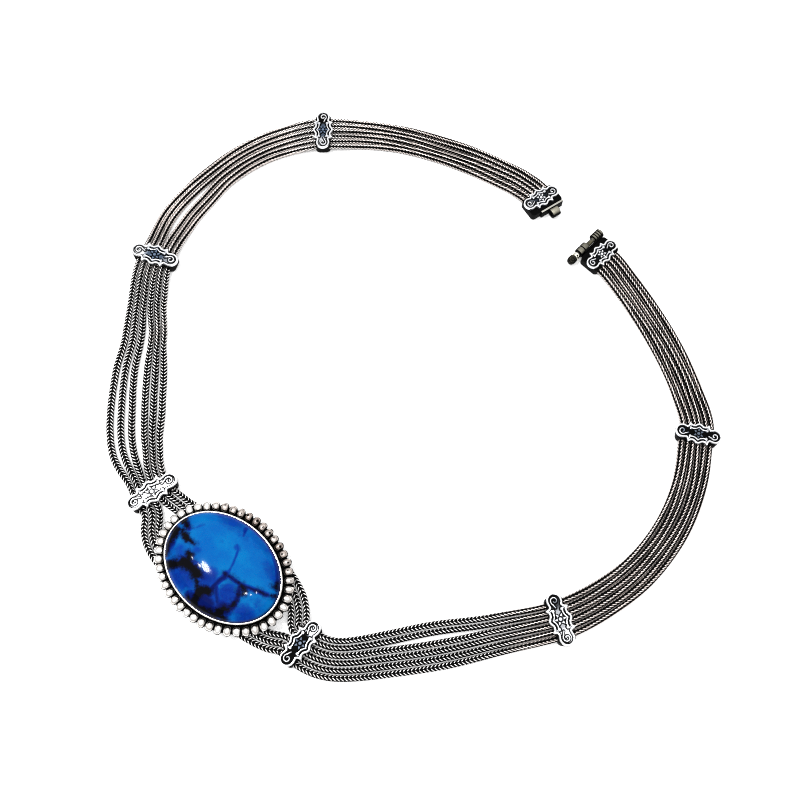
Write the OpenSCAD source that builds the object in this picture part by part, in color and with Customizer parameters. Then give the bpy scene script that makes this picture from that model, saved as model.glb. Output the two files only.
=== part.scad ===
// Necklace of six foxtail chains, laid open on a table, in millimetres.
// Six cartouche slides and two clasp ends hold the chains side by side. An oval stone in a beaded
// setting rides on two bundles of three chains that pass through staples under it.
// +Z is up, +Y is the clasp side, and the origin is under the middle of the whole outline.

/* [Chains] */
// Width of one chain across its braided face
chain_w = 1.7; // [1.5:0.05:1.7]
// Thickness of one chain
chain_h = 1.2; // [1.0:0.05:1.2]
// Gap left between neighbouring chains where they are packed tight
chain_gap = 0.05; // [0.03:0.01:0.08]
// Height of a chain's underside where a collar holds it off the table
held_lift = 0.55; // [0.5:0.05:0.6]

/* [Slides and clasp bodies] */
// Size of a slide's body along the chains
body_w = 4.1; // [4.0:0.1:4.6]
// Height of the bodies up to the plate
body_h = 2.65; // [2.65:0.05:3.0]
// Thickness of the floor and the side walls of a body
wall = 0.4; // [0.3:0.05:0.45]
// Height of the flat tunnel that the chains run through
tunnel_h = 1.85; // [1.85:0.05:1.9]
// Play at each side of the chains in a tunnel
tunnel_play = 0.3; // [0.25:0.05:0.35]
// Thickness of an ornamental plate
plate_t = 0.45; // [0.4:0.05:0.7]
// Height of the raised rim and scrolls on a plate
relief_h = 0.3; // [0.2:0.05:0.4]
// Width of the raised rim round a plate's lobes
rim_w = 0.4; // [0.3:0.05:0.45]

/* [Pendant] */
// Length of the stone
stone_len = 30; // [29:0.5:30]
// Width of the stone
stone_wid = 22; // [21:0.5:22]
// Height of the stone over its seat
stone_h = 5.8; // [5:0.1:7]
// Turn of the stone's long axis from +X
stone_turn = -39.5; // [-42:0.5:-38]
// Thickness of the bezel wall
bezel_t = 0.4; // [0.3:0.05:0.5]
// Height of the bezel over the backplate
bezel_h = 2.3; // [1.8:0.1:2.6]
// Thickness of the backplate
back_t = 0.7; // [0.6:0.05:0.9]
// Diameter of a bead of the border
bead_d = 1.95; // [1.7:0.05:2.0]
// Number of beads in the border
bead_count = 45; // [40:1:45]

/* [Clasp] */
// Outer diameter of the clasp barrels
barrel_d = 2.5; // [2.2:0.1:2.6]
// Diameter of the clasp pin's shaft
pin_d = 1.2; // [1.0:0.05:1.3]
// Radial clearance of the pin in the barrels
pin_clearance = 0.05; // [0.03:0.01:0.08]
// Length of the single barrel that the pin catches
catch_len = 2.4; // [2.0:0.1:2.5]
// Gap between the two barrels that carry the pin
catch_gap = 2.6; // [2.6:0.1:2.8]

/* [Hidden] */
$fn = 48;
eps = 0.01;
// Middle of the outline in the coordinates of the route table
outline_mid = [2.92, 7.47];

// Columns of the route table. The route is the middle line of the whole ribbon of chains, from the
// left clasp end around the loop to the right one. Spacing is the distance between neighbouring
// chains, held is 1 where a collar lifts the chains and 0 where they lie, and the two bows push
// the outer and the inner bundle of three sideways, away from the middle line when they part. Fan
// adds to the spacing of the outer three chains alone.
SPACING = 2;
HELD = 3;
OUTER_BOW = 4;
INNER_BOW = 5;
FAN = 6;
ROUTE = [
    // x, y, spacing, held, outer bow, inner bow, fan
    [37.8, 55.0, 1.38, 1, 0, 0, 0],      // left clasp end
    [35.8, 58.1, 1.38, 1, 0, 0, 0],
    [32.3, 61.5, 1.38, 0, 0, 0, 0],
    [27.9, 64.2, 1.38, 0, 0, 0, 0],
    [19.4, 68.7, 1.38, 0, 0, 0, 0],
    [10.4, 72.4, 1.34, 0, 0, 0, 0],
    [0.9, 75.3, 1.36, 0, 0, 0, 0],
    [-8.7, 76.8, 1.46, 0, 0, 0, 0],
    [-18.0, 76.9, 1.60, 1, 0, 0, 0],     // back left slide
    [-23.8, 76.7, 1.60, 1, 0, 0, 0],
    [-32.9, 74.3, 1.52, 0, 0, 0, 0],
    [-40.7, 70.3, 1.48, 0, 0, 0, 0],
    [-47.6, 64.8, 1.45, 0, 0, 0, 0],
    [-53.5, 58.0, 1.45, 0, -0.5, 0.5, 0],
    [-58.5, 50.8, 1.48, 0, -0.6, 0.6, 0],
    [-62.3, 41.7, 1.56, 1, 0, 0, 0],     // side left slide
    [-64.2, 35.9, 1.62, 1, 0, 0, 0],
    [-64.8, 26.5, 1.70, 0, 0, 0, 0],
    [-64.9, 16.8, 1.60, 0, -0.2, 1.15, 0.44],
    [-64.9, 7.1, 2.08, 0, -0.68, 0.65, 0.25],
    [-65.0, -2.5, 2.15, 0, -0.48, 0.95, 0.5],
    [-64.1, -12.2, 1.80, 0, -0.75, 1.14, 0.75],
    [-60.6, -21.2, 1.65, 1, 0, 0, 0],    // front left slide
    [-57.3, -26.2, 1.75, 1, 0, 0, 0],
    [-54.9, -28.4, 1.75, 1, -2.9, 0.2, 0],
    [-52.3, -30.9, 1.75, 1, -5.0, 0.8, 0],
    [-48.0, -35.0, 1.75, 1, -6.0, 2.6, 0],
    [-40.9, -41.8, 1.75, 1, -6.1, 4.8, 0],
    [-33.7, -48.8, 1.75, 1, -4.4, 5.6, 0],
    [-29.2, -53.2, 1.75, 1, -2.9, 4.4, 0],
    [-26.7, -55.6, 1.75, 1, -1.6, 2.5, 0],
    [-24.6, -57.5, 1.73, 1, 0, 0, 0],
    [-20.2, -61.0, 1.66, 1, 0, 0, 0],    // front right slide
    [-16.0, -62.5, 1.65, 0.3, 0, 0, 0],
    [-10.9, -62.6, 1.67, 0, 0, 0, 0],
    [-2.3, -61.4, 1.75, 0, 0, 0, 0],
    [7.1, -59.8, 1.75, 0, 0, 0, 0],
    [16.1, -58.3, 1.68, 0, 0, 0, 0],
    [25.1, -56.5, 1.58, 0, 0, 0, 0],
    [33.5, -54.8, 1.50, 1, 0, 0, 0],     // side right slide
    [39.2, -53.0, 1.50, 1, 0, 0, 0],
    [47.2, -48.9, 1.46, 0, 0, 0, 0],
    [54.6, -43.7, 1.40, 0, 0, 0, 0],
    [61.1, -36.9, 1.37, 0, 0, 0, 0],
    [66.2, -29.3, 1.38, 0, 0, 0, 0],
    [69.8, -20.9, 1.36, 0, 0, 0, 0],
    [71.6, -12.4, 1.36, 1, 0, 0, 0],     // back right slide
    [72.6, -6.6, 1.34, 1, 0, 0, 0],
    [71.2, 1.7, 1.31, 0, 0, 0, 0],
    [68.9, 9.3, 1.30, 0, 0, 0, 0],
    [65.9, 16.7, 1.29, 0, 0, 0, 0],
    [62.3, 24.1, 1.28, 0, 0, 0, 0],
    [58.4, 31.2, 1.28, 0, 0, 0, 0],
    [54.3, 37.0, 1.30, 1, 0, 0, 0],      // right clasp end
    [51.4, 39.8, 1.30, 1, 0, 0, 0]
];
LAST = len(ROUTE) - 1;

// A slim gap that opens in the ribbon on the front right: its middle and half length along the
// route, the chain that it lies after, and its width
SLIT_MID = 272;
SLIT_HALF = 14;
SLIT_AFTER = 4;
SLIT_W = 0.75;

// Columns of the slide table: the route station just before the slide, its plate's length, and how
// far it is pushed along the route from the middle between the stations
STATION = 0;
PLATE_LEN = 1;
PUSH = 2;
SLIDES = [
    [8, 11.6, 0],       // back left
    [15, 12.8, 0],      // side left
    [22, 13.4, 0.45],   // front left
    [31, 12.4, 0],      // front right
    [39, 12.4, 0],      // side right
    [46, 11.2, -0.3]    // back right
];
CLASP_LEFT_PLATE = 10.4;
CLASP_RIGHT_PLATE = 10.2;

// A plate's edge from the middle of one long side to the neck of a lobe, on a plate of the
// reference length: a low crest, a valley and a pointed ear. Each row has a point of the outline
// and the point of the raised rim's inner edge beside it. A longer plate is also a little wider.
plate_ref = 11.4;
widening = 0.4;
EDGE = [
    [[0, 2.65], [0, 2.25]],
    [[0.35, 2.58], [0.3, 2.19]],
    [[0.7, 2.35], [0.6, 1.98]],
    [[1.05, 2.1], [0.98, 1.72]],
    [[1.4, 2.03], [1.4, 1.63]],
    [[1.75, 2.12], [1.8, 1.72]],
    [[2.1, 2.45], [2.0, 1.92]],
    [[2.35, 2.6], [2.1, 1.95]],
    [[2.5, 2.3], [2.18, 1.8]],
    [[2.6, 1.85], [2.3, 1.45]],
    [[2.85, 1.55], [2.75, 1.17]]
];
OUTLINE = 0;
RIM_INSIDE = 1;
// Round lobe at each end of a plate: its radius, and the angle range that shows past the neck
lobe_r = 1.75;
lobe_from = 110;
lobe_step = 10;
body_inset = 1.2;
// Scroll on each lobe, and flower in the middle of a plate
scroll_r = 0.95;
scroll_wire = 0.22;
scroll_sweep = 290;
eye_r = 0.3;
boss_r = 0.5;
petals = 6;
petal_r = 0.4;
petal_at = 0.95;
fine_fn = 24;
body_round = 1.2;
clasp_round = 0.9;
CLASP_LEFT_AT = [37.3, 55.8];
CLASP_RIGHT_AT = [52.2, 39.0];
// Direction, in degrees, in which the chains leave each clasp end
CLASP_LEFT_TURN = 122.8;
CLASP_RIGHT_TURN = -44.5;

// Clasp body in its own frame: +Y is the chains' side and -Y the clasp's side
clasp_back = -3.3;
clasp_front = 2.2;
pocket_end = -1.4;
flange_t = 0.5;
flange_len = 6.8;
flange_at = 1.1;
flange_low = 0.2;
axis_y = -4.8;
axis_z = 1.5;
catch_at = 1.2;
lug_h = 1.7;
far_barrel_len = 2.9;
near_barrel_len = 3.2;
knob_gap = 0.4;
knob_d = 2.2;
collar_d = 1.9;
collar_len = 1.2;
knob_len = 2.2;

// Levels of the pendant
back_z = held_lift + chain_h + 0.25;
plate_z = back_z + back_t;
seat_gap = 0.05;
stone_z = plate_z + seat_gap;
girdle_h = 1.9;
stone_at = [-40.6, -42.4];
bead_ring = 1.95;
bead_sink = 0.35;
back_edge = 0.3;
ellipse_sides = 72;
stone_sides = 48;
// Staples under the pendant: distance from the pendant's middle along the route, and their size
staple_off = 6.5;
staple_w = 3.0;
MID_STATION = 27;

// Route: distances along it, and a smooth curve through its stations

function place(i) = [ROUTE[i].x, ROUTE[i].y];
function reach(i) = i == 0 ? 0 : reach(i - 1) + norm(place(i) - place(i - 1));
REACH = [for (i = [0:LAST]) reach(i)];

// Slope of each column at station i. Past x and y, a column that turns or rests there is level, so
// the chains neither dip below the table nor swing past a collar's wall.
function slope(i) =
    let(a = max(i - 1, 0), b = min(i + 1, LAST), before = ROUTE[i] - ROUTE[a], after = ROUTE[b] - ROUTE[i])
    [for (c = [0:FAN])
        c >= SPACING && before[c] * after[c] <= 0 ? 0 : (before[c] + after[c]) / (REACH[b] - REACH[a])];
SLOPES = [for (i = [0:LAST]) slope(i)];

function leg_of(s, i = 0) = i >= LAST - 1 || s < REACH[i + 1] ? i : leg_of(s, i + 1);

// All columns of the route at distance s, by cubic pieces that share their slopes
function route_at(s) =
    let(i = leg_of(s), d = REACH[i + 1] - REACH[i], t = (s - REACH[i]) / d)
    (2 * t^3 - 3 * t^2 + 1) * ROUTE[i] + (t^3 - 2 * t^2 + t) * d * SLOPES[i]
    + (3 * t^2 - 2 * t^3) * ROUTE[i + 1] + (t^3 - t^2) * d * SLOPES[i + 1];

// Half the distance over which a direction along the route is taken
step = 0.3;
function unit(v) = v / norm(v);
function left_of(v) = [-v.y, v.x];
function heading_at(s) =
    let(a = route_at(max(s - step, 0)), b = route_at(min(s + step, REACH[LAST])))
    unit([b.x - a.x, b.y - a.y]);

// Bundle: the outer three chains are on side -1 and the inner three on side +1
function bundle_at(s, side) =
    let(r = route_at(s), bow = side < 0 ? r[OUTER_BOW] : r[INNER_BOW])
    [r.x, r.y] + left_of(heading_at(s)) * (side * 1.5 * r[SPACING] + bow);
function bundle_heading(s, side) =
    unit(bundle_at(min(s + step, REACH[LAST]), side) - bundle_at(max(s - step, 0), side));

function side_of(k) = k <= 3 ? -1 : 1;
function rank_of(k) = (k - 1) % 3 - 1;

function slit_push(s, k) =
    let(u = (s - SLIT_MID) / SLIT_HALF)
    abs(u) < 1 ? (k <= SLIT_AFTER ? -1 : 1) * SLIT_W / 2 * (1 - u^2)^2 : 0;

// A chain rolls from its face onto its edge as the ribbon gets narrower
function roll_of(spacing) =
    let(room = spacing - chain_gap,
        q = (1 / room^2 - 1 / chain_w^2) / (1 / chain_h^2 - 1 / chain_w^2))
    asin(sqrt(min(max(q, 0), 1)));

// Eight-sided outline of one chain, flat on its face, drawn inside its oval section
SIDES = 8;
SECTION = [for (i = [0:SIDES - 1]) let(a = (i - 0.5) * 360 / SIDES)
    [chain_w / 2 * cos(a), chain_h / 2 * sin(a)]];

function rolled(p, a) = [p.x * cos(a) - p.y * sin(a), p.x * sin(a) + p.y * cos(a)];

// One ring of a chain's tube, standing across the chain's own direction
function ring(s, k) =
    let(side = side_of(k),
        across = left_of(bundle_heading(s, side)),
        spacing = route_at(s)[SPACING] + (side < 0 ? route_at(s)[FAN] : 0),
        mid = bundle_at(s, side) + across * (rank_of(k) * spacing + slit_push(s, k)),
        turned = [for (p = SECTION) rolled(p, roll_of(spacing))],
        low = min([for (p = turned) p.y]),
        lift = route_at(s)[HELD] * held_lift - low)
    [for (p = turned) [mid.x - across.x * p.x, mid.y - across.y * p.x, lift + p.y]];

RINGS = [for (i = [0:LAST - 1]) for (t = [0, 0.5]) REACH[i] * (1 - t) + REACH[i + 1] * t, REACH[LAST]];

function tube_faces(rings, sides) = concat(
    [for (r = [0:rings - 2]) for (i = [0:sides - 1]) let(j = (i + 1) % sides)
        for (f = [[r * sides + i, (r + 1) * sides + j, r * sides + j],
                  [r * sides + i, (r + 1) * sides + i, (r + 1) * sides + j]]) f],
    [[for (i = [0:sides - 1]) i]],
    [[for (i = [sides - 1:-1:0]) (rings - 1) * sides + i]]
);

module centred() {
    translate([-outline_mid.x, -outline_mid.y, 0]) children();
}

module chain(k) {
    color("silver") centred()
    polyhedron([for (s = RINGS) each ring(s, k)], tube_faces(len(RINGS), SIDES), convexity = 10);
}

// Cartouche plate: two lobes joined by a wider middle with a crest and two ears on each long side

lobe_at = plate_ref / 2 - lobe_r;

// A quarter of the outline, or of the rim's inner edge, at the reference length
function quarter(edge) =
    let(r = edge == OUTLINE ? lobe_r : lobe_r - rim_w)
    concat(
        [for (row = EDGE) row[edge]],
        [for (a = [lobe_from:-lobe_step:lobe_step]) [lobe_at + r * cos(a), r * sin(a)]],
        [[lobe_at + r, 0]]
    );

// The whole loop, from the top middle round to the right and back
function loop(edge) =
    let(q = quarter(edge), n = len(q) - 1)
    concat(
        q,
        [for (i = [n - 1:-1:0]) [q[i].x, -q[i].y]],
        [for (i = [1:n]) [-q[i].x, -q[i].y]],
        [for (i = [n - 1:-1:1]) [-q[i].x, q[i].y]]
    );

function plate_scale(plate_len) =
    let(k = plate_len / plate_ref) [k, 1 + widening * (k - 1)];

module plate_outline(plate_len, edge) {
    k = plate_scale(plate_len);
    polygon([for (p = loop(edge)) [p.x * k.x, p.y * k.y]]);
}

// One end scroll: an open ring of wire that curls around a small knob
module scroll() {
    rotate_extrude(angle = scroll_sweep) translate([scroll_r, 0]) circle(r = scroll_wire, $fn = 16);
    cylinder(r = eye_r, h = relief_h);
}

module flower() {
    sphere(r = boss_r, $fn = fine_fn);
    for (i = [0:petals - 1]) rotate([0, 0, i * 360 / petals])
        translate([petal_at, 0, 0]) sphere(r = petal_r, $fn = fine_fn);
}

module plate(plate_len) {
    k = plate_scale(plate_len);
    linear_extrude(plate_t) plate_outline(plate_len, OUTLINE);
    translate([0, 0, plate_t - eps]) linear_extrude(relief_h + eps) difference() {
        plate_outline(plate_len, OUTLINE);
        plate_outline(plate_len, RIM_INSIDE);
    }
    translate([0, 0, plate_t]) {
        flower();
        for (turn = [0, 180]) rotate([0, 0, turn]) translate([lobe_at * k.x, 0, 0]) scroll();
    }
}

module rounded_box(x, y, z, r) {
    linear_extrude(z) {
        square([x - 2 * r, y], center = true);
        square([x, y - 2 * r], center = true);
        for (sx = [-1, 1]) for (sy = [-1, 1])
            translate([sx * (x / 2 - r), sy * (y / 2 - r)]) circle(r = r);
    }
}

function ribbon_w(spacing) = 5 * spacing + 2 * max([for (p = SECTION) abs(rolled(p, roll_of(spacing)).x)]);

// Slide: a collar around all six chains with a cartouche plate soldered on top

module slide(index) {
    row = SLIDES[index];
    s = (REACH[row[STATION]] + REACH[row[STATION] + 1]) / 2 + row[PUSH];
    at = route_at(s);
    way = heading_at(s);
    tunnel = ribbon_w(max(ROUTE[row[STATION]][SPACING], ROUTE[row[STATION] + 1][SPACING])) + 2 * tunnel_play;
    body_len = max(row[PLATE_LEN] - body_inset, tunnel + 2 * wall);
    color("silver") centred() translate([at.x, at.y, 0]) rotate([0, 0, atan2(way.y, way.x) - 90]) {
        difference() {
            rounded_box(body_len, body_w, body_h, body_round);
            translate([-tunnel / 2, -body_w, wall]) cube([tunnel, 2 * body_w, tunnel_h]);
        }
        translate([0, 0, body_h - eps]) plate(row[PLATE_LEN]);
    }
}

// Clasp end: a body with a pocket for the chain ends, its plate, and a flange at the clasp's side

module clasp_body(spacing, plate_len) {
    pocket = ribbon_w(spacing) + 2 * tunnel_play;
    body_len = pocket + 2 * wall;
    difference() {
        translate([0, (clasp_front + clasp_back) / 2, 0])
            rounded_box(body_len, clasp_front - clasp_back, body_h, clasp_round);
        translate([-pocket / 2, pocket_end, wall]) cube([pocket, body_w, tunnel_h]);
    }
    translate([0, 0, body_h - eps]) plate(plate_len);
}

module clasp_flange(at) {
    translate([at - flange_len / 2, clasp_back - flange_t, flange_low])
        cube([flange_len, flange_t + eps, body_h + relief_h - flange_low]);
}

// Barrel along X from x0, with a lug that carries it from the flange
module barrel(x0, len) {
    translate([x0, axis_y, axis_z]) rotate([0, 90, 0]) cylinder(d = barrel_d, h = len);
    translate([x0, axis_y, axis_z - lug_h / 2]) cube([len, clasp_back - axis_y, lug_h]);
}

module pin_bore(x0, len) {
    translate([x0 - eps, axis_y, axis_z]) rotate([0, 90, 0])
        cylinder(d = pin_d + 2 * pin_clearance, h = len + 2 * eps);
}

module at_clasp(place, turn) {
    centred() translate([place.x, place.y, 0]) rotate([0, 0, turn - 90]) children();
}

module clasp_end_left() {
    color("silver") at_clasp(CLASP_LEFT_AT, CLASP_LEFT_TURN) {
        clasp_body(ROUTE[0][SPACING], CLASP_LEFT_PLATE);
        clasp_flange(flange_at);
        difference() {
            barrel(catch_at - catch_len / 2, catch_len);
            pin_bore(catch_at - catch_len / 2, catch_len);
        }
    }
}

far_barrel_x = -catch_at - catch_gap / 2 - far_barrel_len;
near_barrel_x = -catch_at + catch_gap / 2;

module clasp_end_right() {
    color("silver") at_clasp(CLASP_RIGHT_AT, CLASP_RIGHT_TURN) {
        clasp_body(ROUTE[LAST][SPACING], CLASP_RIGHT_PLATE);
        clasp_flange(-flange_at);
        difference() {
            union() {
                barrel(far_barrel_x, far_barrel_len);
                barrel(near_barrel_x, near_barrel_len);
            }
            pin_bore(far_barrel_x, near_barrel_x + near_barrel_len - far_barrel_x);
        }
    }
}

// Clasp pin: a plain shaft through both barrels, then a collar and a turned knob
module clasp_pin() {
    near_end = near_barrel_x + near_barrel_len;
    color("gray") at_clasp(CLASP_RIGHT_AT, CLASP_RIGHT_TURN)
    translate([0, axis_y, axis_z]) rotate([0, 90, 0]) {
        translate([0, 0, far_barrel_x]) cylinder(d = pin_d, h = near_end + knob_gap - far_barrel_x + eps);
        translate([0, 0, near_end + knob_gap]) cylinder(d = collar_d, h = collar_len);
        translate([0, 0, near_end + knob_gap + collar_len - eps]) cylinder(d = knob_d, h = knob_len);
    }
}

// Pendant: an oval stone in a bezel on a backplate, with a border of beads and staples below

module oval(half_len, half_wid) {
    polygon([for (i = [0:ellipse_sides - 1]) let(a = 360 * i / ellipse_sides)
        [half_len * cos(a), half_wid * sin(a)]]);
}

module at_pendant() {
    centred() translate([stone_at.x, stone_at.y, 0]) rotate([0, 0, stone_turn]) children();
}

ring_len = stone_len / 2 + bead_ring;
ring_wid = stone_wid / 2 + bead_ring;
// Even steps along an oval: the angle runs a little ahead of the step where the curve is flat
oval_lead = (ring_len^2 - ring_wid^2) / (4 * (ring_len^2 + ring_wid^2)) * 180 / PI;
function even_angle(u) = u + oval_lead * sin(2 * u);

module bead_border() {
    for (i = [0:bead_count - 1]) {
        a = even_angle(360 * i / bead_count);
        translate([ring_len * cos(a), ring_wid * sin(a), plate_z + bead_d / 2 - bead_sink])
            sphere(d = bead_d, $fn = fine_fn);
    }
}

module staple(side, off) {
    s = REACH[MID_STATION] + off;
    at = bundle_at(s, side);
    way = bundle_heading(s, side);
    inner = 2 * ROUTE[MID_STATION][SPACING] + chain_w + 2 * tunnel_play;
    centred() translate([at.x, at.y, 0]) rotate([0, 0, atan2(way.y, way.x) - 90]) difference() {
        translate([-inner / 2 - wall, -staple_w / 2, 0]) cube([inner + 2 * wall, staple_w, back_z + eps]);
        translate([-inner / 2, -staple_w, wall]) cube([inner, 2 * staple_w, back_z]);
    }
}

module pendant_setting() {
    color("silver") {
        at_pendant() {
            translate([0, 0, back_z]) linear_extrude(back_t) oval(ring_len + back_edge, ring_wid + back_edge);
            translate([0, 0, plate_z - eps]) linear_extrude(bezel_h + eps) difference() {
                oval(stone_len / 2 + seat_gap + bezel_t, stone_wid / 2 + seat_gap + bezel_t);
                oval(stone_len / 2 + seat_gap, stone_wid / 2 + seat_gap);
            }
            bead_border();
        }
        for (side = [-1, 1]) for (off = [-staple_off, staple_off]) staple(side, off);
    }
}

// Rings of the stone from its seat up: share of the half width, and height. The bottom edge is
// bevelled, the girdle stands upright, and the dome is fuller than a plain half oval.
stone_bevel = 0.3;
dome_fullness = 0.8;
STONE_RINGS = concat(
    [[1 - 2 * stone_bevel / stone_len, 0], [1, stone_bevel], [1, girdle_h]],
    [for (a = [15:15:75]) [cos(a)^dome_fullness, girdle_h + (stone_h - girdle_h) * sin(a)]]
);

module pendant_stone() {
    n = len(STONE_RINGS);
    points = concat(
        [for (r = STONE_RINGS) for (i = [0:stone_sides - 1]) let(a = 360 * i / stone_sides)
            [stone_len / 2 * r[0] * cos(a), stone_wid / 2 * r[0] * sin(a), r[1]]],
        [[0, 0, stone_h]]
    );
    faces = concat(
        [[for (i = [0:stone_sides - 1]) i]],
        [for (r = [0:n - 2]) for (i = [0:stone_sides - 1])
            let(j = (i + 1) % stone_sides, a = r * stone_sides, b = a + stone_sides)
            for (f = [[a + i, b + j, a + j], [a + i, b + i, b + j]]) f],
        [for (i = [0:stone_sides - 1]) let(j = (i + 1) % stone_sides, a = (n - 1) * stone_sides)
            [a + i, n * stone_sides, a + j]]
    );
    color("dodgerblue") at_pendant() translate([0, 0, stone_z]) polyhedron(points, faces, convexity = 4);
}

chain(1);  // chain_1
chain(2);  // chain_2
chain(3);  // chain_3
chain(4);  // chain_4
chain(5);  // chain_5
chain(6);  // chain_6
slide(0);  // slide_back_left
slide(1);  // slide_side_left
slide(2);  // slide_front_left
slide(3);  // slide_front_right
slide(4);  // slide_side_right
slide(5);  // slide_back_right
pendant_setting();
pendant_stone();
clasp_end_left();
clasp_end_right();
clasp_pin();
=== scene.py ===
"""Looks of a necklace of six foxtail chains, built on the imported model. Lengths in this script are in
millimetres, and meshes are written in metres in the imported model's frame."""
from math import acos, atan2, cos, degrees, pi, radians, sin

import bmesh
import bpy
import numpy as np
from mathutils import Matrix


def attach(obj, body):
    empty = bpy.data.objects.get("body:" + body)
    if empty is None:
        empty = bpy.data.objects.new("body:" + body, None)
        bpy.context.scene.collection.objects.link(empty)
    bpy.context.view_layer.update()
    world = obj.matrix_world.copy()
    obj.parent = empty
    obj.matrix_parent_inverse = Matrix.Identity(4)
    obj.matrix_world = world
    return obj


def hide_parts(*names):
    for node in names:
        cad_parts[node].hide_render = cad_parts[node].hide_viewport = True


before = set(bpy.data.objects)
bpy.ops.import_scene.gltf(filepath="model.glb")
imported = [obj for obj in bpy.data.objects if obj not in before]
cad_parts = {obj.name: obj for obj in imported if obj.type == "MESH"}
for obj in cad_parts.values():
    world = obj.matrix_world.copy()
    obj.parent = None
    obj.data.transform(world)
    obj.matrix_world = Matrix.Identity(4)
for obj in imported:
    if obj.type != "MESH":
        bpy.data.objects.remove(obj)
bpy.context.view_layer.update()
scene = bpy.context.scene

METRES = 0.001
TINY = 1e-9
# Shading values kept on the points of each mesh
VALUES = ("crown", "wear", "deep", "warm")

# Route of the ribbon of chains, as in the part's source: x, y, spacing of the chains, held above the
# table (1) or lying on it (0), sideways bow of the outer and of the inner bundle, and fan, which adds
# to the outer three chains' spacing. Short rows have no bow and no fan.
SPACING, HELD, OUTER_BOW, INNER_BOW, FAN = range(2, 7)
ROUTE = np.array([row + (0,) * (FAN + 1 - len(row)) for row in [
    (37.8, 55, 1.38, 1), (35.8, 58.1, 1.38, 1), (32.3, 61.5, 1.38, 0), (27.9, 64.2, 1.38, 0),
    (19.4, 68.7, 1.38, 0), (10.4, 72.4, 1.34, 0), (0.9, 75.3, 1.36, 0), (-8.7, 76.8, 1.46, 0),
    (-18, 76.9, 1.6, 1), (-23.8, 76.7, 1.6, 1), (-32.9, 74.3, 1.52, 0), (-40.7, 70.3, 1.48, 0),
    (-47.6, 64.8, 1.45, 0), (-53.5, 58, 1.45, 0, -0.5, 0.5), (-58.5, 50.8, 1.48, 0, -0.6, 0.6),
    (-62.3, 41.7, 1.56, 1), (-64.2, 35.9, 1.62, 1), (-64.8, 26.5, 1.7, 0),
    (-64.9, 16.8, 1.6, 0, -0.2, 1.15, 0.44), (-64.9, 7.1, 2.08, 0, -0.68, 0.65, 0.25),
    (-65, -2.5, 2.15, 0, -0.48, 0.95, 0.5), (-64.1, -12.2, 1.8, 0, -0.75, 1.14, 0.75),
    (-60.6, -21.2, 1.65, 1), (-57.3, -26.2, 1.75, 1), (-54.9, -28.4, 1.75, 1, -2.9, 0.2),
    (-52.3, -30.9, 1.75, 1, -5, 0.8), (-48, -35, 1.75, 1, -6, 2.6),
    (-40.9, -41.8, 1.75, 1, -6.1, 4.8), (-33.7, -48.8, 1.75, 1, -4.4, 5.6),
    (-29.2, -53.2, 1.75, 1, -2.9, 4.4), (-26.7, -55.6, 1.75, 1, -1.6, 2.5), (-24.6, -57.5, 1.73, 1),
    (-20.2, -61, 1.66, 1), (-16, -62.5, 1.65, 0.3), (-10.9, -62.6, 1.67, 0), (-2.3, -61.4, 1.75, 0),
    (7.1, -59.8, 1.75, 0), (16.1, -58.3, 1.68, 0), (25.1, -56.5, 1.58, 0), (33.5, -54.8, 1.5, 1),
    (39.2, -53, 1.5, 1), (47.2, -48.9, 1.46, 0), (54.6, -43.7, 1.4, 0), (61.1, -36.9, 1.37, 0),
    (66.2, -29.3, 1.38, 0), (69.8, -20.9, 1.36, 0), (71.6, -12.4, 1.36, 1), (72.6, -6.6, 1.34, 1),
    (71.2, 1.7, 1.31, 0), (68.9, 9.3, 1.3, 0), (65.9, 16.7, 1.29, 0), (62.3, 24.1, 1.28, 0),
    (58.4, 31.2, 1.28, 0), (54.3, 37, 1.3, 1), (51.4, 39.8, 1.3, 1),
]])
CHAINS = 6
# Middle of a bundle of three, in spacings from the route
BUNDLE_MID = 1.5
OUTLINE_MID = np.array([2.92, 7.47])
SLIT_MID = 272
SLIT_HALF = 14
SLIT_AFTER = 4
SLIT_W = 0.75
CHAIN_W = 1.7
CHAIN_H = 1.2
CHAIN_GAP = 0.05
HELD_LIFT = 0.55
HEADING_STEP = 0.3
MID_STATION = 27

BODY_W = 4.1
BODY_H = 2.65
WALL = 0.4
TUNNEL_H = 1.85
TUNNEL_PLAY = 0.3
PLATE_T = 0.45
RELIEF_H = 0.3
PLATE_REF = 11.4
WIDENING = 0.4
LOBE_R = 1.75
LOBE_AT = PLATE_REF / 2 - LOBE_R
BODY_INSET = 1.2
BODY_ROUND = 1.2
SIDE_WALL = 0.3
SIDE_PLAY = 0.2
FOOT_CHAMFER = 0.35
CLASP_ROUND = 0.9
BEVEL = 0.07
BEVEL_STEPS = 2
# Angles in degrees past which an edge is bevelled, or shaded sharp
SHARP = 32
SLIDE_CREASE = 38
PIN_CREASE = 50
STONE_CREASE = 60

# Slide: station just before it, length of its plate, push along the route, and the looks of its plate in its
# -X lobe, its middle and its +X lobe: silver worn through on its ground, which also stands for painted
# reflection that makes whole lobes lighter or darker, how blue that looks, and how bright the scrolls are
SLIDES = {
    "slide_back_left": (8, 11.6, 0, (0.62, 0.48, 0.02), (0.1, 1, 0.3), (0.25, 0.2, 0.95)),
    "slide_side_left": (15, 12.8, 0, (0.52, 0.5, 0.85), (0.5, 1, 0.1), (0.42, 0.15, 1)),
    "slide_front_left": (22, 13.4, 0.45, (0.85, 0.9, 0.9), (0, 0, 0), (1, 1, 1)),
    "slide_front_right": (31, 12.4, 0, (0.85, 0.16, 0.04), (0.15, 1, 0.5), (0.95, 0.38, 0.55)),
    "slide_side_right": (39, 12.4, 0, (0.36, 0.56, 0.86), (0.6, 0.3, 0), (0.12, 0.45, 1)),
    "slide_back_right": (46, 11.2, -0.3, (0.28, 0.24, 0.12), (0.9, 0.9, 0.4), (0.34, 0.28, 0.85)),
}

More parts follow.
